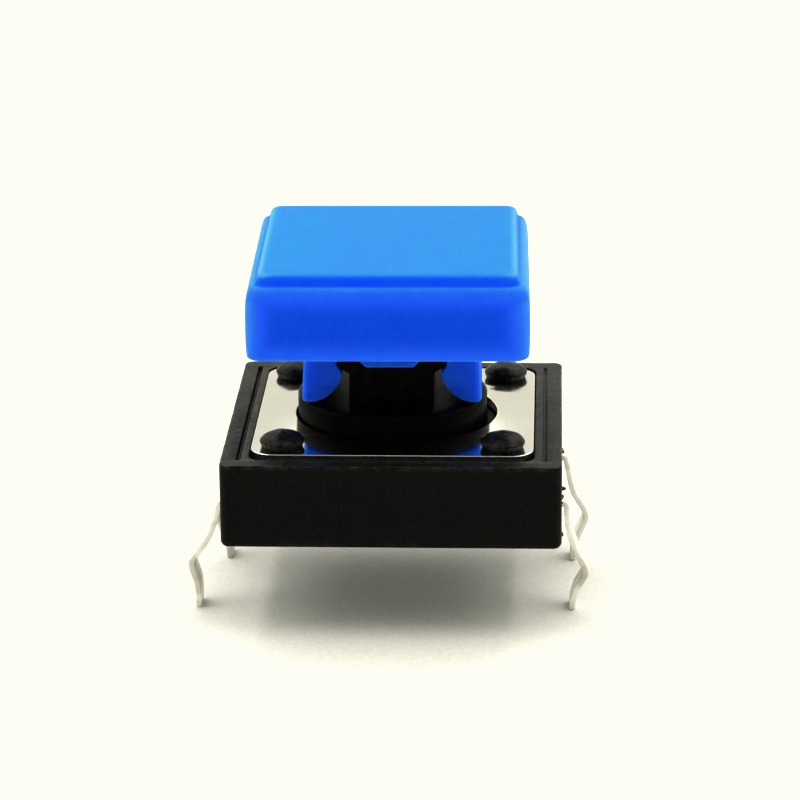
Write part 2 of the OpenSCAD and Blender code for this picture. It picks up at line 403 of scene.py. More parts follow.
def black_plastic(name, colour, light, roughness, grain, specular):
    m = Nodes(name)
    broad = m.noise(0.35, 3, 0.5)
    fine = m.noise(9.0, 3, 0.65)
    grit = m.noise(26.0, 2, 0.6)
    specks = m.remap(m.cells(7.0), 0.02, 0.16, 1.0, 0.0)
    chance = m.remap(m.noise(3.1, 2, 0.5), 0.52, 0.66)
    specks = m.math("MULTIPLY", specks, chance)
    wear_and_painted_light = m.wear_and_painted_light()
    # paler where the weight is high: edge wear on the base's edges, and a painted highlight along the post heads'
    # brows
    rub_and_painted_light = m.math("MULTIPLY", wear_and_painted_light, m.remap(m.noise(2.6, 4, 0.7), 0.38, 0.66))
    tone = m.mix(m.remap(broad, 0.3, 0.7), colour, tuple(c * 1.35 for c in colour))
    tone = m.mix(m.remap(grit, 0.42, 0.72, 0.0, 0.55), tone, tuple(c * 2.2 for c in colour))
    tone = m.mix(m.remap(m.noise(13.0, 2, 0.5), 0.48, 0.66, 0.0, 0.9), tone, tuple(c * 2.6 for c in colour))
    tone = m.mix(m.math("MULTIPLY", specks, 0.5), tone, light)
    tone = m.mix(m.math("MULTIPLY", rub_and_painted_light, 0.45), tone, light)
    m.link(tone, m.shader.inputs["Base Color"])
    rough = m.math("ADD", m.remap(fine, 0.3, 0.7, roughness - 0.07, roughness + 0.08), m.math("MULTIPLY", rub_and_painted_light, -0.08))
    rough = m.math("ADD", rough, m.remap(broad, 0.3, 0.7, -0.04, 0.04))
    m.link(rough, m.shader.inputs["Roughness"])
    b = m.bump(broad, 0.25, 0.05)
    b = m.bump(fine, grain, 0.018, b)
    b = m.bump(grit, grain, 0.006, b)
    m.link(b, m.shader.inputs["Normal"])
    m.set(Specular_IOR_Level=specular)
    return m.material


def blue_plastic():
    m = Nodes("blue_cap_plastic")
    broad = m.noise(0.16, 3, 0.5)
    mid = m.noise(1.5, 4, 0.6)
    fine = m.noise(12.0, 3, 0.6)
    wear_and_painted_light = m.wear_and_painted_light()
    tone = m.mix(m.remap(broad, 0.3, 0.7), (0.0115, 0.108, 0.69), (0.0135, 0.118, 0.72))
    tone = m.mix(m.remap(mid, 0.35, 0.7, 0.0, 0.5), tone, (0.0105, 0.096, 0.67))
    tone = m.mix(m.remap(m.noise(7.0, 2, 0.5), 0.35, 0.65, 0.0, 0.5), tone, (0.0140, 0.127, 0.74))
    # painted light: where the weight is high the cap is painted paler, standing for the side lamps' sheen on its edges
    # and corners and for light from below on the skirt's foot
    rub_and_painted_light = m.math("MULTIPLY", wear_and_painted_light, m.remap(mid, 0.3, 0.7, 0.8, 1.1))
    tone = m.mix(rub_and_painted_light, tone, (0.058, 0.215, 0.94))
    m.link(tone, m.shader.inputs["Base Color"])
    rough = m.remap(fine, 0.3, 0.7, 0.44, 0.54)
    rough = m.math("ADD", rough, m.remap(broad, 0.3, 0.7, -0.04, 0.04))
    rough = m.math("ADD", rough, m.math("MULTIPLY", wear_and_painted_light, -0.15))
    m.link(rough, m.shader.inputs["Roughness"])
    b = m.bump(broad, 0.3, 0.06)
    b = m.bump(mid, 0.10, 0.02, b)
    b = m.bump(fine, 0.22, 0.008, b)
    m.link(b, m.shader.inputs["Normal"])
    m.set(Specular_IOR_Level=0.02, Subsurface_Weight=1.0, Subsurface_Radius=(0.7, 0.85, 1.0), Subsurface_Scale=0.0006)
    return m.material


def steel():
    m = Nodes("bright_plate_steel")
    lines = m.noise(14.0, 3, 0.6, m.scaled(1.0, 0.03, 1.0))
    broad = m.noise(0.22, 3, 0.5)
    spots = m.noise(1.6, 5, 0.65)
    wear_and_painted_light = m.wear_and_painted_light()
    tone = m.mix(m.remap(broad, 0.3, 0.7), (0.74, 0.725, 0.665), (0.80, 0.79, 0.735))
    tone = m.mix(m.math("MULTIPLY", m.remap(spots, 0.55, 0.75), 0.25), tone, (0.60, 0.57, 0.49))
    m.link(tone, m.shader.inputs["Base Color"])
    rough = m.math("ADD", m.remap(lines, 0.3, 0.7, 0.09, 0.13), m.remap(spots, 0.5, 0.8, 0.0, 0.06))
    rough = m.math("ADD", rough, m.math("MULTIPLY", wear_and_painted_light, 0.08))
    m.link(rough, m.shader.inputs["Roughness"])
    b = m.bump(broad, 0.25, 0.01)
    b = m.bump(lines, 0.06, 0.002, b)
    m.link(b, m.shader.inputs["Normal"])
    m.set(Metallic=1.0)
    return m.material


def tin(name, colour, roughness, metal):
    m = Nodes(name)
    broad = m.noise(0.7, 3, 0.5)
    blot = m.noise(3.4, 5, 0.65)
    fine = m.noise(16.0, 3, 0.6)
    wear_and_painted_light = m.wear_and_painted_light()
    dull = tuple(c * 0.78 for c in colour)
    tone = m.mix(m.remap(blot, 0.42, 0.72, 0.0, 0.6), colour, dull)
    tone = m.mix(m.math("MULTIPLY", wear_and_painted_light, m.remap(broad, 0.4, 0.65, 0.1, 0.6)), tone, (0.34, 0.31, 0.25))
    m.link(tone, m.shader.inputs["Base Color"])
    rough = m.math("ADD", m.remap(blot, 0.3, 0.7, roughness - 0.08, roughness + 0.1), m.remap(fine, 0.3, 0.7, -0.04, 0.04))
    m.link(rough, m.shader.inputs["Roughness"])
    b = m.bump(broad, 0.4, 0.03)
    b = m.bump(blot, 0.25, 0.01, b)
    b = m.bump(fine, 0.15, 0.004, b)
    m.link(b, m.shader.inputs["Normal"])
    m.set(Metallic=metal)
    return m.material


BASE_PLASTIC = black_plastic("black_base_plastic", (0.0053, 0.0052, 0.0048), (0.06, 0.06, 0.056), 0.41, 0.35, 0.09)
PLUNGER_PLASTIC = black_plastic("black_plunger_plastic", (0.0035, 0.0035, 0.0034), (0.03, 0.03, 0.028), 0.38, 0.22, 0.03)
CAP_PLASTIC = blue_plastic()
STEEL = steel()
TIN = tin("tinned_strip", (0.91, 0.89, 0.83), 0.42, 0.35)
SPRING = tin("spring_steel_sheet", (0.62, 0.61, 0.57), 0.24, 1.0)


# ---------------------------------------------------------------------------
# Base
# ---------------------------------------------------------------------------


def wobble(points, amount, rate, salt):
    """Moves points a little, by smooth noise, to take the machine-perfect line off an edge."""
    out = []
    for x, y, z in points:
        p = Vector((x * rate + salt, y * rate - salt, z * rate))
        out.append((x + amount * noise.noise(p), y + amount * noise.noise(p + Vector((7.3, 1.9, 4.1))), z + amount * 0.6 * noise.noise(p + Vector((3.7, 8.2, 0.6)))))
    return out


def make_base():
    s = Shape()
    half = BASE_W / 2
    corner, along = 8, 72
    r0 = 0.3
    foot, rim = 0.18, 0.055
    zt = BASE_H

    def outer(t, z, wear_and_painted_light=0.0, shake=0.0, deep=None):
        deep = t if deep is None else deep
        pts = rounded(BASE_W - 2 * t, BASE_W - 2 * deep, max(r0 - t, 0.03), z, corner, along)
        if shake:
            pts = wobble(pts, shake, 2.3, 5.0)
        # the walls never leave the moulding's own box
        pts = [(max(-half, min(half, x)), max(-half, min(half, y)), min(zt, z)) for x, y, z in pts]
        return s.ring(pts, wear_and_painted_light)

    rings = []
    for k in range(7):
        a = math.pi / 2 * k / 6
        t = foot * (1 - math.sin(a))
        rings.append(outer(t, foot * (1 - math.cos(a)), 0.4 if 0 < k < 6 else 0.1, 0.0, t * 0.45))
    for z in (0.9, 1.6, 2.3, 2.84):
        rings.append(outer(0.0, z))
    for k in range(5):
        a = math.pi / 2 * k / 4
        rings.append(outer(rim * (1 - math.cos(a)), zt - rim * (1 - math.sin(a)), 1.0, 0.012))
    for a, b in zip(rings, rings[1:]):
        s.bridge(a, b)
    underside = rings[0]
    top_outer = outer(rim + 0.04, zt, 0.25)
    s.bridge(rings[-1], top_outer)

    # seat for the plate: rounded lip, wall, floor
    seat_w, seat_d, seat_r = PLATE_W + 0.03, PLATE_D + 0.72, 0.6
    lip = 0.03

    def seat(t, z, wear_and_painted_light=0.0, shake=0.0):
        pts = rounded(seat_w - 2 * t, seat_d - 2 * t, max(seat_r - t, 0.05), z, corner, along)
        return s.ring(wobble(pts, shake, 2.9, 9.0) if shake else pts, wear_and_painted_light)

    lip_rings = []
    for k in range(4):
        a = math.pi / 2 * k / 3
        lip_rings.append(seat(-lip * (1 - math.sin(a)), zt - lip * (1 - math.cos(a)), 0.8, 0.006))
    bottom = seat(0.0, PLATE_BOTTOM, 0.0)
    top_inner = lip_rings[0]
    for a, b in zip(lip_rings, lip_rings[1:]):
        s.bridge(a, b)
    s.bridge(lip_rings[-1], bottom)

    # relief slots in the left and right rim, with a soft mouth
    slot_holes = []
    for side in (-1, 1):
        cx = side * SLOT_X
        ring_a = s.ring(wobble(rounded(0.21, 10.70, 0.10, zt, 6, 60, cx), 0.008, 3.0, 2.0 * side), 0.2)
        rows = [ring_a]
        deep = 1.0 if side < 0 else 0.5
        for w, d, dz in ((0.18, 10.67, 0.012), (0.15, 10.64, 0.035), (0.115, 10.61, 0.07), (0.08, 10.58, 0.11), (0.035, 10.54, 0.14)):
            rows.append(s.ring(rounded(w, d, w / 2 - 0.004, zt - dz * deep, 6, 60, cx)))
        for a, b in zip(rows, rows[1:]):
            s.bridge(a, b)
        s.fill((0, 0, 1), rows[-1])
        slot_holes.append(ring_a)
    s.fill((0, 0, 1), top_outer, top_inner, *slot_holes)

    # floor of the seat, round well and its floor
    n = 96
    post_feet = []
    for px in (-POST_X, POST_X):
        for py in (-POST_Y, POST_Y):
            foot_ring = s.ring(circle(0.5, PLATE_BOTTOM, 32, px, py))
            post_feet.append((foot_ring, px, py))
    # the well opens into two grooves, left and right
    groove_w, reach = 1.6, 4.97
    angle = math.asin(groove_w / 2 / 4.3)
    outline = []
    for start, end, gx in ((angle, math.pi - angle, -1), (math.pi + angle, 2 * math.pi - angle, 1)):
        count = 40
        outline += [(4.3 * math.cos(start + (end - start) * k / count), 4.3 * math.sin(start + (end - start) * k / count)) for k in range(count + 1)]
        y0 = groove_w / 2 if gx < 0 else -groove_w / 2
        outline += [(gx * reach, y0), (gx * reach, -y0)]
    well_hi = s.ring([(x, y, PLATE_BOTTOM) for x, y in outline])
    well_lo = s.ring([(x, y, 1.3) for x, y in outline])
    s.bridge(well_hi, well_lo)
    well_in = s.ring(circle(4.3, 1.3, n))
    s.fill((0, 0, 1), bottom, well_hi, *[ring for ring, _, _ in post_feet])
    deep = s.ring(circle(4.3, FLOOR_Z, n))
    s.bridge(well_in, deep)
    s.fill((0, 0, 1), deep)
    # the step between the groove floors and the well
    inner_step = s.ring([(x * 0.9999, y * 0.9999, 1.3) for x, y in circle_points(4.3, n)])
    s.fill((0, 0, 1), well_lo, inner_step)
    s.bridge(inner_step, well_in)

    # posts with melted heads
    random.seed(SEED)
    for ring, px, py in post_feet:
        top = s.ring(circle(0.5, PLATE_TOP - 0.01, 32, px, py))
        s.bridge(ring, top)
        s.fill((0, 0, 1), top)
        s.add(melted_head(px, py, random.random() * 50))

    # underside: flat, with the moulding's pin marks and gate
    pins = []
    for cx, cy, r, depth in ((-4.4, -4.4, 0.55, 0.03), (4.4, -4.4, 0.55, 0.03), (-4.4, 4.4, 0.55, 0.03), (4.4, 4.4, 0.55, 0.03), (0.0, 0.0, 0.7, 0.12)):
        mouth = s.ring(circle(r + 0.02, 0.0, 40, cx, cy), 0.5)
        inner = s.ring(circle(r, 0.02, 40, cx, cy), 0.3)
        deep = s.ring(circle(r, depth, 40, cx, cy))
        s.bridge(inner, mouth)
        s.bridge(deep, inner)
        s.fill((0, 0, -1), deep)
        pins.append(mouth)
    s.fill((0, 0, -1), underside, *pins)
    # gate stub in the middle mark
    gate = Shape()
    random.seed(SEED + 1)
    g = [(0.24 * (1 + 0.12 * math.sin(3 * a + 1)) * math.cos(a), 0.24 * (1 + 0.12 * math.sin(3 * a + 1)) * math.sin(a)) for a in [2 * math.pi * k / 20 for k in range(20)]]
    top = gate.ring([(x, y, 0.13) for x, y in g])
    low = gate.ring([(x * 0.9, y * 0.9, 0.03 + 0.012 * math.sin(5 * x + 9 * y)) for x, y in g], 0.8)
    gate.bridge(low, top)
    gate.fill((0, 0, -1), low)
    gate.fill((0, 0, 1), top)
    s.add(gate)

    # flash left by the mould: round the two right leads' roots, and two burrs
    for x, y, z, rx, ry, rz, salt in FLASH:
        s.add(lump(x, y, z, rx, ry, rz, salt))
    return s


# centre, radii and a number that shapes each crumb of flash
FLASH = (
    (5.99, 2.52, 0.60, 0.15, 0.56, 0.17, 3.0),
    (6.00, -2.55, 0.66, 0.10, 0.50, 0.08, 8.0),
    (6.00, -5.10, 1.95, 0.14, 0.10, 0.07, 5.0),
    (5.99, -5.40, 0.36, 0.07, 0.10, 0.09, 6.0),
)


def lump(x, y, z, rx, ry, rz, salt):
    """A small crumb of plastic, half sunk in the wall."""
    s = Shape()
    rings = []
    for i in range(1, 10):
        a = math.pi * i / 10
        ring = []
        for k in range(16):
            b = 2 * math.pi * k / 16
            d = Vector((math.sin(a) * math.cos(b), math.sin(a) * math.sin(b), -math.cos(a)))
            q = 1 + 0.35 * noise.noise(d * 1.6 + Vector((salt, salt, salt)))
            ring.append((x + d.x * rx * q, y + d.y * ry * q, z + d.z * rz * q))
        rings.append(s.ring(ring, 0.5))
    for a, b in zip(rings, rings[1:]):
        s.bridge(a, b)
    s.fill((0, 0, -1), rings[0])
    s.fill((0, 0, 1), rings[-1])
    return s


def circle_points(r, n):
    return [(r * math.cos(2 * math.pi * k / n), r * math.sin(2 * math.pi * k / n)) for k in range(n)]


def melted_head(px, py, salt):
    """A post's end melted over the plate: crimped skirt, sharp brow, low dome."""
    s = Shape()
    n = 96
    r, h = POST_HEAD_R, POST_HEAD_H
    # columns: share of the radius, height, rib depth, weight; the high weight along the brow paints a paler highlight
    # there
    profile = [
        (0.88, 0.000, 0.0, 0.2), (0.915, 0.02, 0.4, 0.3), (0.925, 0.05, 1.0, 0.5), (0.945, 0.095, 1.0, 0.5),
        (0.975, 0.135, 0.7, 0.7), (0.995, 0.165, 0.35, 1.0), (1.0, 0.185, 0.2, 1.0), (0.99, 0.21, 0.1, 1.0),
        (0.95, 0.25, 0.05, 0.9), (0.89, 0.29, 0.0, 0.7), (0.81, 0.332, 0.0, 0.5), (0.72, 0.37, 0.0, 0.4),
        (0.62, 0.402, 0.0, 0.35), (0.51, 0.43, 0.0, 0.3), (0.39, 0.453, 0.0, 0.3), (0.27, 0.47, 0.0, 0.3),
        (0.16, 0.48, 0.0, 0.3), (0.06, 0.485, 0.0, 0.3),
    ]
    rings = []
    for q, z, ribs, wear_and_painted_light in profile:
        pts = []
        for k in range(n):
            a = 2 * math.pi * k / n
            lump = noise.noise(Vector((math.cos(a) * 1.1 + salt, math.sin(a) * 1.1, z * 2)))
            tooth = math.sin(a * 23 + 2.2 * noise.noise(Vector((math.cos(a) * 2.1, math.sin(a) * 2.1, salt))))
            rr = r * q * (1 + 0.018 * lump) + 0.024 * ribs * (tooth - 0.4) * (0.6 + 0.6 * noise.noise(Vector((math.cos(a) * 5, math.sin(a) * 5, salt + 3))))
            dent = noise.noise(Vector((math.cos(a) * q * 2.6 + salt, math.sin(a) * q * 2.6 - salt, 1.7)))
            zz = z * (h / 0.5) + (0.016 * lump + 0.032 * dent * min(1.0, (1.02 - q) * 6) if z > 0.1 else 0.0)
            pts.append((px + rr * math.cos(a), py + rr * math.sin(a), PLATE_TOP + min(zz, h)))
        rings.append(s.ring(pts, wear_and_painted_light))
    for a, b in zip(rings, rings[1:]):
        s.bridge(a, b)
    s.fill((0, 0, -1), rings[0])
    s.fill((0, 0, 1), rings[-1])
    return s


# ---------------------------------------------------------------------------
# Cover plate
# ---------------------------------------------------------------------------


def make_plate():
    s = Shape()
    corner, along = 14, 10
    r0 = 0.8
    # outward offset, height, wear: sheared edge with a burnished foot, rolled top edge
    edge = [(-0.03, PLATE_BOTTOM, 0.3), (-0.008, PLATE_BOTTOM + 0.008, 0.2), (0.0, PLATE_BOTTOM + 0.03, 0.1), (-0.008, PLATE_BOTTOM + 0.055, 0.2),
            (-0.022, PLATE_BOTTOM + 0.08, 1.0), (-0.028, PLATE_TOP - 0.06, 1.0), (-0.030, PLATE_TOP - 0.014, 1.0)]
    roll = 0.016
    for k in range(1, 6):
        a = math.pi / 2 * k / 5
        edge.append((-0.030 - roll * (1 - math.cos(a)), PLATE_TOP - 0.014 + 0.014 * math.sin(a), 0.5))
    edge += [(-0.056, PLATE_TOP, 0.2), (-0.10, PLATE_TOP, 0.0)]
    rings = []
    for t, z, wear_and_painted_light in edge:
        rings.append(s.ring(rounded(PLATE_W + 2 * t, PLATE_D + 2 * t, r0 + t, z, corner, along), wear_and_painted_light))
    for a, b in zip(rings, rings[1:]):
        s.bridge(a, b)
    hole = [(HOLE_R, PLATE_BOTTOM), (HOLE_R, PLATE_TOP - 0.05)]
    for k in range(1, 5):
        a = math.pi / 2 * k / 4
        hole.append((HOLE_R + 0.045 * (1 - math.cos(a)), PLATE_TOP - 0.05 + 0.05 * math.sin(a)))
    n = 160
    hole_rings = [s.ring(circle(r, z, n), 0.3) for r, z in hole]
    for a, b in zip(hole_rings, hole_rings[1:]):
        s.bridge(a, b, flip=True)
    tops, bottoms = [], []
    for px in (-POST_X, POST_X):
        for py in (-POST_Y, POST_Y):
            hi = s.ring(circle(0.54, PLATE_TOP, 40, px, py))
            lo = s.ring(circle(0.54, PLATE_BOTTOM, 40, px, py))
            s.bridge(lo, hi, flip=True)
            tops.append(hi)
            bottoms.append(lo)
    s.fill((0, 0, 1), rings[-1], hole_rings[-1], *tops)
    s.fill((0, 0, -1), rings[0], hole_rings[0], *bottoms)
    return s


# ---------------------------------------------------------------------------
# Contact strips
# ---------------------------------------------------------------------------

LEADS = {
    "front_right": [(6.10, 0.59), (6.18, 0.52), (6.20, 0.35), (6.22, 0.00), (6.31, -0.55), (6.45, -1.02), (6.61, -1.40), (6.80, -1.76), (6.88, -2.05), (6.79, -2.28), (6.58, -2.66), (6.46, -3.02), (6.41, -3.30), (6.41, -3.5)],
    "front_left": [(6.12, 0.59), (6.24, 0.53), (6.34, 0.36), (6.47, -0.15), (6.67, -0.70), (6.92, -1.10), (7.17, -1.44), (7.35, -1.74), (7.32, -2.00), (7.19, -2.42), (7.12, -2.90), (7.12, -3.20), (7.13, -3.5)],
    "rear_right": [(6.10, 0.59), (6.18, 0.53), (6.21, 0.38), (6.27, 0.05), (6.35, -0.38), (6.46, -0.78), (6.67, -1.14), (6.86, -1.48), (6.92, -1.80), (6.80, -2.15), (6.60, -2.62), (6.48, -3.00), (6.45, -3.30), (6.45, -3.5)],
    "rear_left": [(6.10, 0.59), (6.19, 0.52), (6.23, 0.36), (6.26, 0.02), (6.34, -0.50), (6.46, -0.98), (6.62, -1.34), (6.78, -1.66), (6.83, -1.92), (6.74, -2.18), (6.58, -2.62), (6.47, -3.00), (6.42, -3.30), (6.42, -3.5)],
}


def smooth_path(points, step=0.06):
    """A centripetal Catmull-Rom line through the points, at even steps."""
    pts = [Vector(p) for p in points]
    pts = [pts[0] * 2 - pts[1]] + pts + [pts[-1] * 2 - pts[-2]]
    fine = []
    for i in range(1, len(pts) - 2):
        p0, p1, p2, p3 = pts[i - 1:i + 3]
        t0 = 0.0
        t1 = t0 + max(1e-5, (p1 - p0).length) ** 0.5
        t2 = t1 + max(1e-5, (p2 - p1).length) ** 0.5
        t3 = t2 + max(1e-5, (p3 - p2).length) ** 0.5
        count = 24
        for k in range(count):
            t = t1 + (t2 - t1) * k / count
            a1 = p0 * ((t1 - t) / (t1 - t0)) + p1 * ((t - t0) / (t1 - t0))
            a2 = p1 * ((t2 - t) / (t2 - t1)) + p2 * ((t - t1) / (t2 - t1))
            a3 = p2 * ((t3 - t) / (t3 - t2)) + p3 * ((t - t2) / (t3 - t2))
            b1 = a1 * ((t2 - t) / (t2 - t0)) + a2 * ((t - t0) / (t2 - t0))
            b2 = a2 * ((t3 - t) / (t3 - t1)) + a3 * ((t - t1) / (t3 - t1))
            fine.append(b1 * ((t2 - t) / (t2 - t1)) + b2 * ((t - t1) / (t2 - t1)))
    fine.append(pts[-2])
    out, left = [fine[0]], 0.0
    for a, b in zip(fine, fine[1:]):
        d = (b - a).length
        left += d
        if left >= step:
            out.append(b)
            left = 0.0
    if (out[-1] - fine[-1]).length > 1e-4:
        if (out[-1] - fine[-1]).length < step * 0.4:
            out[-1] = fine[-1]
        else:
            out.append(fine[-1])
    return out


def ribbon(path, y, salt):
    """A flat strip swept along a path in the X-Z plane, with rounded sheared edges."""
    s = Shape()
    # section across the strip: (across the thickness, along y, wear)
    ht, hw = LEAD_T / 2, LEAD_W / 2
    section = []
    rr, br = 0.055, 0.02
    for cx, cy, r, a0 in ((ht - rr, hw - rr, rr, 0), (-ht + br, hw - br, br, 90), (-ht + br, -hw + br, br, 180), (ht - rr, -hw + rr, rr, 270)):
        for k in range(4):
            a = math.radians(a0 + 30 * k)
            section.append((cx + r * math.cos(a), cy + r * math.sin(a), 1.0))
    rings = []
    n = len(path)
    for i, p in enumerate(path):
        a, b = path[max(0, i - 1)], path[min(n - 1, i + 1)]
        d = (b - a).normalized()
        side = Vector((-d.y, d.x))  # to the left of the way the strip runs
        end = min(i, n - 1 - i) * 0.06
        narrow = 1.0
        if end < 0.3:
            narrow = 1.0 - 0.22 * (1 - end / 0.3) ** 1.5
        pts = []
        for u, w, _ in section:
            uu = u * (1.0 if end > 0.05 else 0.8)
            pts.append((p.x + side.x * uu, y + w * narrow, p.y + side.y * uu))
        rings.append(s.ring(pts))
        for j, (_, _, wear_and_painted_light) in enumerate(section):
            s.wear_and_painted_light[rings[-1][j]] = wear_and_painted_light
    for a, b in zip(rings, rings[1:]):
        s.bridge(a, b)
    s.fill(Vector((path[0].x - path[1].x, 0, path[0].y - path[1].y)), rings[0])
    s.fill(Vector((path[-1].x - path[-2].x, 0, path[-1].y - path[-2].y)), rings[-1])
    # outward winding
    a, b = rings[0], rings[1]
    p, q, r_ = (Vector(s.v[a[0]]), Vector(s.v[a[1]]), Vector(s.v[b[1]]))
    centre = Vector((path[0].x, y, path[0].y))
    if (q - p).cross(r_ - p).dot(p - centre) < 0:
        sides = (len(rings) - 1) * len(section)
        s.f = [f[::-1] if i < sides else f for i, f in enumerate(s.f)]
    return s


def make_strip(left, right, y, extras):
    flat_z = FLOOR_Z - LEAD_T / 2
    way = [(-x, z) for x, z in reversed(LEADS[left])] + [(x, flat_z) for x in (-5.6, -3.0, 0.0, 3.0, 5.6)] + LEADS[right]
    s = ribbon(smooth_path(way), y, y)
    for extra in extras:
        s.add(extra)
    return s


def flat_piece(x0, x1, y0, y1):
    loop = soften([(x0, y0), (x1, y0), (x1, y1), (x0, y1)], 0.08)
    return prism(loop, FLOOR_Z - LEAD_T, FLOOR_Z, 0.03, lambda a, b, h: (a, b, h), 2)


# ---------------------------------------------------------------------------
# Snap dome
# ---------------------------------------------------------------------------


def make_dome():
    r, rise, t = 3.3, dome_high[2] - dome_low[2], 0.07
    big = (r * r + rise * rise) / (2 * rise)
    half = 1.9
    rows_x, rows_y = 64, 30
    s = Shape()

    def height(x, y, radius):
        return FLOOR_Z + rise - big + math.sqrt(max(0.0, radius * radius - x * x - y * y))

    top, low = [], []
    for j in range(rows_y + 1):
        y = -half + 2 * half * j / rows_y
        reach = math.sqrt(r * r - y * y)
        row = [(-reach + 2 * reach * i / rows_x, y) for i in range(rows_x + 1)]
        dimple = lambda x, yy: -0.05 * math.exp(-((x * x + yy * yy) / 0.35 ** 2))
        top.append(s.ring([(x, yy, max(FLOOR_Z, height(x, yy, big)) + dimple(x, yy)) for x, yy in row]))
        low.append(s.ring([(x, yy, max(FLOOR_Z - 0.0, height(x, yy, big - t)) + dimple(x, yy)) if math.hypot(x, yy) < r - 0.3 else (x, yy, max(FLOOR_Z, height(x, yy, big) - t * max(0.0, (r - math.hypot(x, yy)) / 0.3))) for x, yy in row]))
    s.grid(top)
    s.grid(low, flip=True)
    edge_top = top[0] + [row[-1] for row in top[1:]] + top[-1][-2::-1] + [row[0] for row in top[-2:0:-1]]
    edge_low = low[0] + [row[-1] for row in low[1:]] + low[-1][-2::-1] + [row[0] for row in low[-2:0:-1]]
    s.bridge(edge_low, edge_top)
    return s


# ---------------------------------------------------------------------------
# Plunger
# ---------------------------------------------------------------------------


def make_plunger():
    flange_top = PLATE_BOTTOM - 0.07
    flange_low = flange_top - 0.88
    nub = FLOOR_Z + (dome_high[2] - dome_low[2]) + 0.03
    profile, wear_and_painted_light = [], []

    def put(points, w):
        for p in points:
            profile.append(p)
            wear_and_painted_light.append(w)

    put([(0.02, nub)], 0)
    put(arc(0.9, nub + 0.2, 0.2, -90, 0, 4), 0.3)
    put([(1.1, flange_low)], 0)
    put([(1.3, flange_low)], 0)
    put(arc(FLANGE_R - 0.06, flange_low + 0.06, 0.06, -90, 0, 3), 0.3)
    put(arc(FLANGE_R - 0.06, flange_top - 0.06, 0.06, 0, 90, 3), 0.3)
    put([(COLLAR_R + 0.03, flange_top), (COLLAR_R, flange_top + 0.03)], 0)
    put([(COLLAR_R, COLLAR_TOP - 0.5), (COLLAR_R, COLLAR_TOP - 0.115)], 0)
    put([(COLLAR_R - 0.012, COLLAR_TOP - 0.085)], 0.8)
    put([(COLLAR_R - 0.05, COLLAR_TOP - 0.035)], 0.8)
    put([(COLLAR_R - 0.095, COLLAR_TOP - 0.006)], 0.8)
    put([(COLLAR_R - 0.14, COLLAR_TOP)], 0.3)
    put([(2.9, COLLAR_TOP), (0.4, COLLAR_TOP)], 0)
    s = revolve(profile, 144, wear_and_painted_light)

    # stem: one profile seen from the front, pushed front to back
    hw, ww = 1.9, 1.5
    loop = [(-ww, COLLAR_TOP - 0.3), (ww, COLLAR_TOP - 0.3), (ww, 5.1), (hw, 5.35), (hw, HEAD_TOP - 0.25), (hw - 0.2, HEAD_TOP), (0.2 - hw, HEAD_TOP), (-hw, HEAD_TOP - 0.25), (-hw, 5.35), (-ww, 5.1)]
    loop = soften(loop, [0.01, 0.01, 0.05, 0.06, 0.05, 0.05, 0.05, 0.05, 0.06, 0.05], 3)
    s.add(prism(loop, -hw, hw, 0.07, lambda a, b, h: (a, h, b), 4, 0.7))
    for side in (-1, 1):
        x0, x1 = sorted((side * 3.8, side * 4.65))
        lug = soften([(x0, -0.65), (x1, -0.65), (x1, 0.65), (x0, 0.65)], 0.1)
        s.add(prism(lug, flange_low, flange_top, 0.04, lambda a, b, h: (a, b, h), 2))
    return s.turned(TURN).moved(x=PLAY_X + STEM_X)


# ---------------------------------------------------------------------------
# Cap
# ---------------------------------------------------------------------------


# The cap's outer section: how far in from the box's side, height over the
# seating plane, weight of the paler painted light (painted light from below near the foot,
# painted sheen on the ledge and the panel's edges). Upright wall drawn in at its top,
# soft shoulder, ledge, hollow foot of the raised panel, and the panel's soft edge.
CAP_SECTION = (
    (0.016, 6.86, 0.45), (0.005, 7.10, 0.2), (0.0, 7.40, 0.0), (0.0, 7.85, 0.0), (0.003, 8.12, 0.0), (0.011, 8.38, 0.08),
    (0.027, 8.60, 0.25), (0.050, 8.78, 0.45), (0.080, 8.92, 0.5), (0.112, 9.02, 0.5), (0.145, 9.085, 0.42), (0.180, 9.130, 0.36),
    (0.215, 9.158, 0.32), (0.250, 9.174, 0.3), (0.282, 9.188, 0.15), (0.308, 9.212, 0.0), (0.330, 9.248, 0.0), (0.350, 9.298, 0.0),
    (0.367, 9.355, 0.0), (0.383, 9.412, 0.1), (0.400, 9.462, 0.3), (0.422, 9.503, 0.5), (0.452, 9.537, 0.6), (0.495, 9.563, 0.55),
    (0.560, 9.578, 0.35), (0.670, 9.586, 0.03), (0.850, 9.590, 0.0),
)


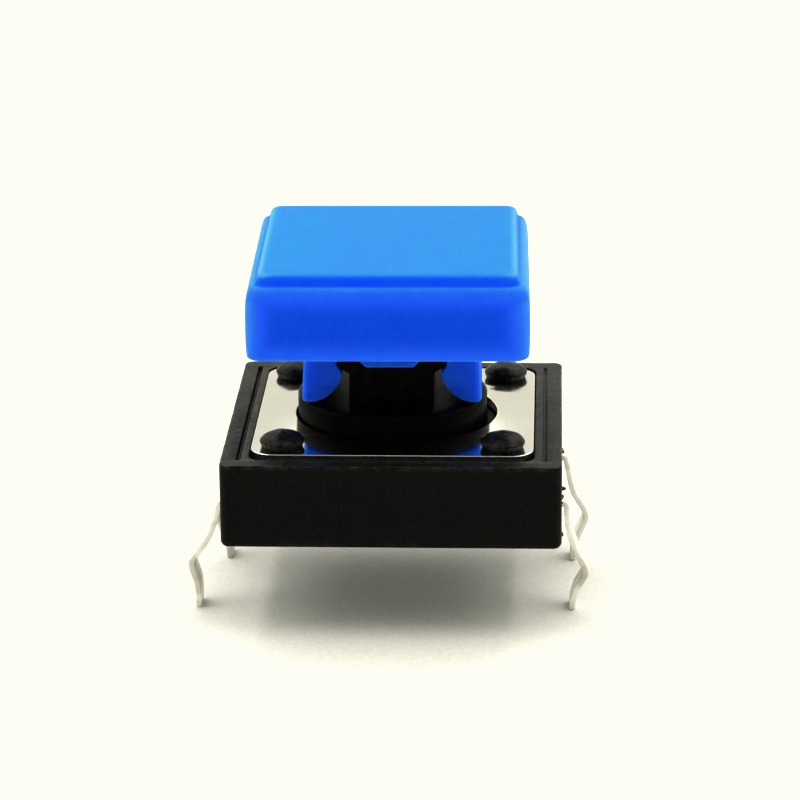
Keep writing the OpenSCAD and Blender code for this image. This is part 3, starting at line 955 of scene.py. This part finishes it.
def make_cap():
    s = Shape()
    corner, along = 12, 30
    wall = 0.9
    r0 = 0.6
    rows = []  # inset, z, corner radius, weight of the paler painted light

    # inside of the skirt, from the ceiling down, with a soft inner corner
    for k in range(4):
        a = math.pi / 2 * k / 3
        rows.append((wall + 0.15 * (1 - math.sin(a)), CEILING_Z - 0.15 * (1 - math.cos(a)), 0.35, 0.0))
    rows += [(wall, 7.4, 0.3, 0.0), (wall, SKIRT_Z + 0.08, 0.3, 0.2)]
    for k in range(1, 5):
        a = math.pi / 2 * k / 4
        rows.append((wall - 0.08 * (1 - math.cos(a)), SKIRT_Z + 0.08 - 0.08 * math.sin(a), 0.33, 0.4))
    # the skirt's rounded foot gets a high weight: painted light from below
    foot = 0.13
    for k in range(6):
        a = math.pi / 2 * k / 5
        t = 0.028 + foot * (1 - math.sin(a))
        rows.append((t, SKIRT_Z + foot * (1 - math.cos(a)), r0 - t, 0.65))
    rows += [(t, z * (CAP_TOP / 9.59) if t > 0.84 else z, max(0.3, r0 - 0.55 * t), wear_and_painted_light) for t, z, wear_and_painted_light in CAP_SECTION]
    rings = []
    for t, z, r, wear_and_painted_light in rows:
        # the ledge is a little wider at the left and right
        tx = t + 0.05 * min(1.0, max(0.0, (t - 0.2) / 0.09)) if z > 9.0 else t
        ring = s.ring(rounded(CAP_W - 2 * tx, CAP_D - 2 * t, r, z, corner, along), wear_and_painted_light)
        for i in ring:
            x, y, _ = s.v[i]
            from_corner = max(CAP_W / 2 - abs(x), CAP_D / 2 - abs(y))
            if z > 9.36:
                # painted highlight: the panel's left and right edges keep the paler painted sheen of the side lamps,
                # its front and rear edges lose it
                s.wear_and_painted_light[i] *= min(1.0, max(0.15, (0.5 - (CAP_W / 2 - tx - abs(x))) / 0.3))
            elif z > SKIRT_Z + 0.1 and t < 0.12:
                # painted side light: the upright corners are painted paler near each corner
                near = min(1.0, max(0.0, (0.98 - from_corner) / 0.8))
                s.wear_and_painted_light[i] = max(s.wear_and_painted_light[i], 0.8 * near ** 0.8 * (1.0 if z < 8.7 else 0.6))
        rings.append(ring)
    for a, b in zip(rings, rings[1:]):
        s.bridge(a, b)
    s.fill((0, 0, 1), rings[-1])
    s.fill((0, 0, -1), rings[0])

    # claws, with their outer upright edges well rounded
    claw = soften([(3.14, 5.6), (3.12, CEILING_Z + 0.12), (1.96, CEILING_Z + 0.12), (1.96, 5.42), (1.8, 5.12), (1.78, 5.02), (1.80, 4.9), (1.97, 4.58), (2.22, 4.28), (2.48, 4.10), (2.80, 4.0), (3.06, 3.99), (3.17, 4.03), (3.22, 4.15), (3.19, 4.8)], 0.05, 3)
    for side in (-1, 1):
        s.add(claw_solid(claw, side).moved(x=CLAW_X))
    # front and rear walls of the socket
    for side in (-1, 1):
        wall_loop = [(-0.84, 5.56), (0.84, 5.56), (1.9, 6.60), (1.9, CEILING_Z + 0.12), (-1.9, CEILING_Z + 0.12), (-1.9, 6.60)]
        wall_loop = soften(wall_loop, [0.16, 0.16, 0.12, 0.02, 0.02, 0.12], 5)
        y0, y1 = sorted((side * 1.96, side * 2.60))
        s.add(prism(wall_loop, y0, y1, 0.06, lambda a, b, h: (a, h, b), 4, 0.5))
    # ribs on the head
    for x, y in ((2.2, 0.3), (0.3, 2.2)):
        rib = soften([(-x, -y), (x, -y), (x, y), (-x, y)], 0.05)
        s.add(prism(rib, HEAD_TOP, CEILING_Z + 0.12, 0.04, lambda a, b, h: (a, b, h), 2, 0.3))
    return s.turned(TURN).moved(x=PLAY_X)


def claw_solid(loop, side):
    """A claw's outline pushed front to back, thinner in x towards both ends."""
    s = Shape()
    half, big, small = 1.9, 0.24, 0.05
    levels = []
    for k in range(8):
        a = math.pi / 2 * k / 7
        levels.append((big * (1 - math.sin(a)), -half + big * (1 - math.cos(a))))
    levels += [(t, -y) for t, y in reversed(levels)]
    rings = []
    for t, y in levels:
        near = max(0.0, 1 - (half - abs(y)) / small)
        pts = []
        for x, z in loop:
            pull = min(1.0, max(0.0, (x - 2.1) / 0.9))
            lift = min(1.0, max(0.0, (4.6 - z) / 0.5))
            xx = x - t * pull + small * near * (1 - pull) * 0.8
            zz = z + 0.5 * t * lift
            pts.append((side * xx, y, zz))
        # the rounded edge rings get a weight for the cap's paler painted edge light
        rings.append(s.ring(pts, 0.5 if t > 0 else 0.1))
    for a, b in zip(rings, rings[1:]):
        s.bridge(a, b, flip=side > 0)
    s.fill((0, -1, 0), rings[0])
    s.fill((0, 1, 0), rings[-1])
    return s


# ---------------------------------------------------------------------------
# Putting the pieces on their bodies
# ---------------------------------------------------------------------------

make_base().object("moulded_base", BASE_PLASTIC, "housing", "base", "black_base", 42)
make_plate().object("stamped_plate", STEEL, "housing", "cover_plate", "bright_steel", 42)
make_strip("front_left", "front_right", -LEAD_Y, [flat_piece(3.15 * s - 0.45, 3.15 * s + 0.45, -LEAD_Y, 1.4) for s in (-1, 1)]).object(
    "front_strip", TIN, "housing", "contact_strip_front", "tinned_lead", 42)
make_strip("rear_left", "rear_right", LEAD_Y, [flat_piece(-0.6, 0.6, -0.6, LEAD_Y), revolve([(0.4, FLOOR_Z - 0.1), (0.4, FLOOR_Z + 0.02), (0.34, FLOOR_Z + 0.05), (0.1, FLOOR_Z + 0.055)], 40)]).object(
    "rear_strip", TIN, "housing", "contact_strip_rear", "tinned_lead", 42)
dome = make_dome().object("sprung_dome", SPRING, "housing", "snap_dome", "spring_steel", 42)
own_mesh(dome)
make_plunger().object("keyed_plunger", PLUNGER_PLASTIC, "button", "plunger", "black_plunger", 42)
make_cap().object("square_cap", CAP_PLASTIC, "button", "cap", "blue_cap", 42)


# ---------------------------------------------------------------------------
# Floor, light and camera
# ---------------------------------------------------------------------------

floor_z = -LEAD_DROP * MM
mesh = bpy.data.meshes.new("floor")
reach = 1.5
mesh.from_pydata([(-reach, -reach, floor_z), (reach, -reach, floor_z), (reach, reach, floor_z), (-reach, reach, floor_z)], [], [(0, 1, 2, 3)])
floor = bpy.data.objects.new("floor", mesh)
bpy.context.scene.collection.objects.link(floor)
paper = Nodes("faintly_glowing_paper")
weave = paper.noise(9.0, 2, 0.5)
paper.link(paper.mix(paper.remap(weave, 0.35, 0.65), (0.478, 0.477, 0.468), (0.522, 0.521, 0.512)), paper.shader.inputs["Base Color"])
paper.link(paper.bump(weave, 0.2, 0.01), paper.shader.inputs["Normal"])
# painted light: the paper glows faintly (emission), lifting the shade under the part
paper.set(Roughness=0.9, Specular_IOR_Level=0.1, Emission_Color=(1.0, 0.985, 0.94, 1.0), Emission_Strength=0.06)
mesh.materials.append(paper.material)

# A light tent: a bright back wall, bright upper side walls, and a darker front
# where the camera looks in.
world = bpy.data.worlds.new("studio")
bpy.context.scene.world = world
world.use_nodes = True
tree = world.node_tree
tree.nodes.clear()
out = tree.nodes.new("ShaderNodeOutputWorld")
back = tree.nodes.new("ShaderNodeBackground")
where = tree.nodes.new("ShaderNodeTexCoord")
split = tree.nodes.new("ShaderNodeSeparateXYZ")
tree.links.new(where.outputs["Generated"], split.inputs[0])


def sky_math(operation, a, b=None):
    n = tree.nodes.new("ShaderNodeMath")
    n.operation = operation
    for i, v in enumerate((a, b)):
        if isinstance(v, (int, float)):
            n.inputs[i].default_value = v
        elif v is not None:
            tree.links.new(v, n.inputs[i])
    return n.outputs[0]


def sky_step(value, low, high):
    n = tree.nodes.new("ShaderNodeMapRange")
    n.interpolation_type = "SMOOTHSTEP"
    n.inputs["From Min"].default_value = low
    n.inputs["From Max"].default_value = high
    tree.links.new(value, n.inputs["Value"])
    return n.outputs["Result"]


def sky_wall(height, stops):
    """Brightness against the sine of the height over the horizon."""
    n = tree.nodes.new("ShaderNodeValToRGB")
    n.color_ramp.interpolation = "EASE"
    ends = n.color_ramp.elements
    for k, (at, value) in enumerate(stops):
        e = ends[k] if k < 2 else ends.new(at)
        e.position = at
        e.color = (value / 8, value / 8, value / 8, 1.0)
    tree.links.new(height, n.inputs[0])
    return n.outputs[0]


flat = sky_math("SQRT", sky_math("ADD", sky_math("MULTIPLY", split.outputs["X"], split.outputs["X"]), sky_math("MULTIPLY", split.outputs["Y"], split.outputs["Y"])))
facing = sky_math("DIVIDE", split.outputs["Y"], sky_math("MAXIMUM", flat, 0.0001))
rear_part = sky_step(facing, 0.52, 0.76)
front_part = sky_step(facing, -0.46, -0.70)
side_part = sky_math("SUBTRACT", sky_math("SUBTRACT", 1.0, rear_part), front_part)
rear_wall = sky_wall(split.outputs["Z"], ((0.0, 2.3), (0.19, 2.3), (0.265, 1.06), (0.49, 1.06), (0.57, 5.0), (0.84, 5.0), (0.92, 2.9)))
side_wall = sky_wall(split.outputs["Z"], ((0.0, 2.0), (0.30, 2.0), (0.40, 2.5), (0.58, 2.5), (0.68, 4.1), (0.88, 4.1), (0.93, 3.1)))
front_wall = sky_wall(split.outputs["Z"], ((0.0, 0.42), (0.38, 0.42), (0.46, 0.15), (0.835, 0.15), (0.88, 3.1)))
light = sky_math("ADD", sky_math("MULTIPLY", rear_wall, rear_part), sky_math("ADD", sky_math("MULTIPLY", side_wall, side_part), sky_math("MULTIPLY", front_wall, front_part)))
# two long lamps over the left and right, from front to rear
across = sky_math("SQRT", sky_math("ADD", sky_math("MULTIPLY", split.outputs["X"], split.outputs["X"]), sky_math("MULTIPLY", split.outputs["Z"], split.outputs["Z"])))
lean = sky_math("DIVIDE", split.outputs["Z"], sky_math("MAXIMUM", across, 0.0001))
# the right one hangs a little lower
lean = sky_math("ADD", lean, sky_math("MULTIPLY", sky_step(split.outputs["X"], -0.02, 0.02), 0.038))
lamp = sky_math("MULTIPLY", sky_step(lean, 0.909, 0.922), sky_step(lean, 0.966, 0.953))
lamp = sky_math("MULTIPLY", lamp, sky_step(sky_math("ABSOLUTE", split.outputs["Y"]), 0.85, 0.65))
light = sky_math("ADD", light, sky_math("MULTIPLY", lamp, 7.4 / 8))
tree.links.new(sky_math("MULTIPLY", light, 7.4), back.inputs["Strength"])
back.inputs["Color"].default_value = (1.0, 0.99, 0.955, 1.0)
tree.links.new(back.outputs[0], out.inputs[0])

# camera at the viewing angle of the photograph
yaw, pitch, roll = math.radians(-2.50), math.radians(18.44), math.radians(-0.45)
ahead = Vector((math.sin(yaw) * math.cos(pitch), math.cos(yaw) * math.cos(pitch), -math.sin(pitch)))
right = Vector((math.cos(yaw), -math.sin(yaw), 0))
up = right.cross(ahead)
r2 = right * math.cos(roll) + up * math.sin(roll)
u2 = -right * math.sin(roll) + up * math.cos(roll)
camera_data = bpy.data.cameras.new("camera")
camera_data.sensor_width = 36.0
camera_data.lens = 3632.0 * 36.0 / 800.0
camera_data.clip_start = 0.001
camera_data.clip_end = 10.0
camera = bpy.data.objects.new("camera", camera_data)
camera.matrix_world = Matrix((
    (r2.x, u2.x, -ahead.x, 0.005575),
    (r2.y, u2.y, -ahead.y, -0.125149),
    (r2.z, u2.z, -ahead.z, 0.045261),
    (0, 0, 0, 1),
))
bpy.context.scene.collection.objects.link(camera)
bpy.context.scene.camera = camera

settings = bpy.context.scene.view_settings
settings.view_transform = "Standard"
settings.look = "None"
# the photograph's tone: rather hard, with a white that is a little warm
settings.use_curve_mapping = True
tone = settings.curve_mapping
tone.use_clip = False
tone.extend = "HORIZONTAL"
tone.black_level = (0.0, 0.0, 0.0)
tone.white_level = (1.0, 1.0, 1.0)
for curve, top in zip(tone.curves, (0.982, 0.982, 0.896)):
    curve.points[0].location = (0.0, 0.0)
    curve.points[-1].location = (1.0, top)
    for x in (0.01, 0.03, 0.08, 0.2, 0.4, 0.7):
        curve.points.new(x, top * x ** 1.3)
tone.update()
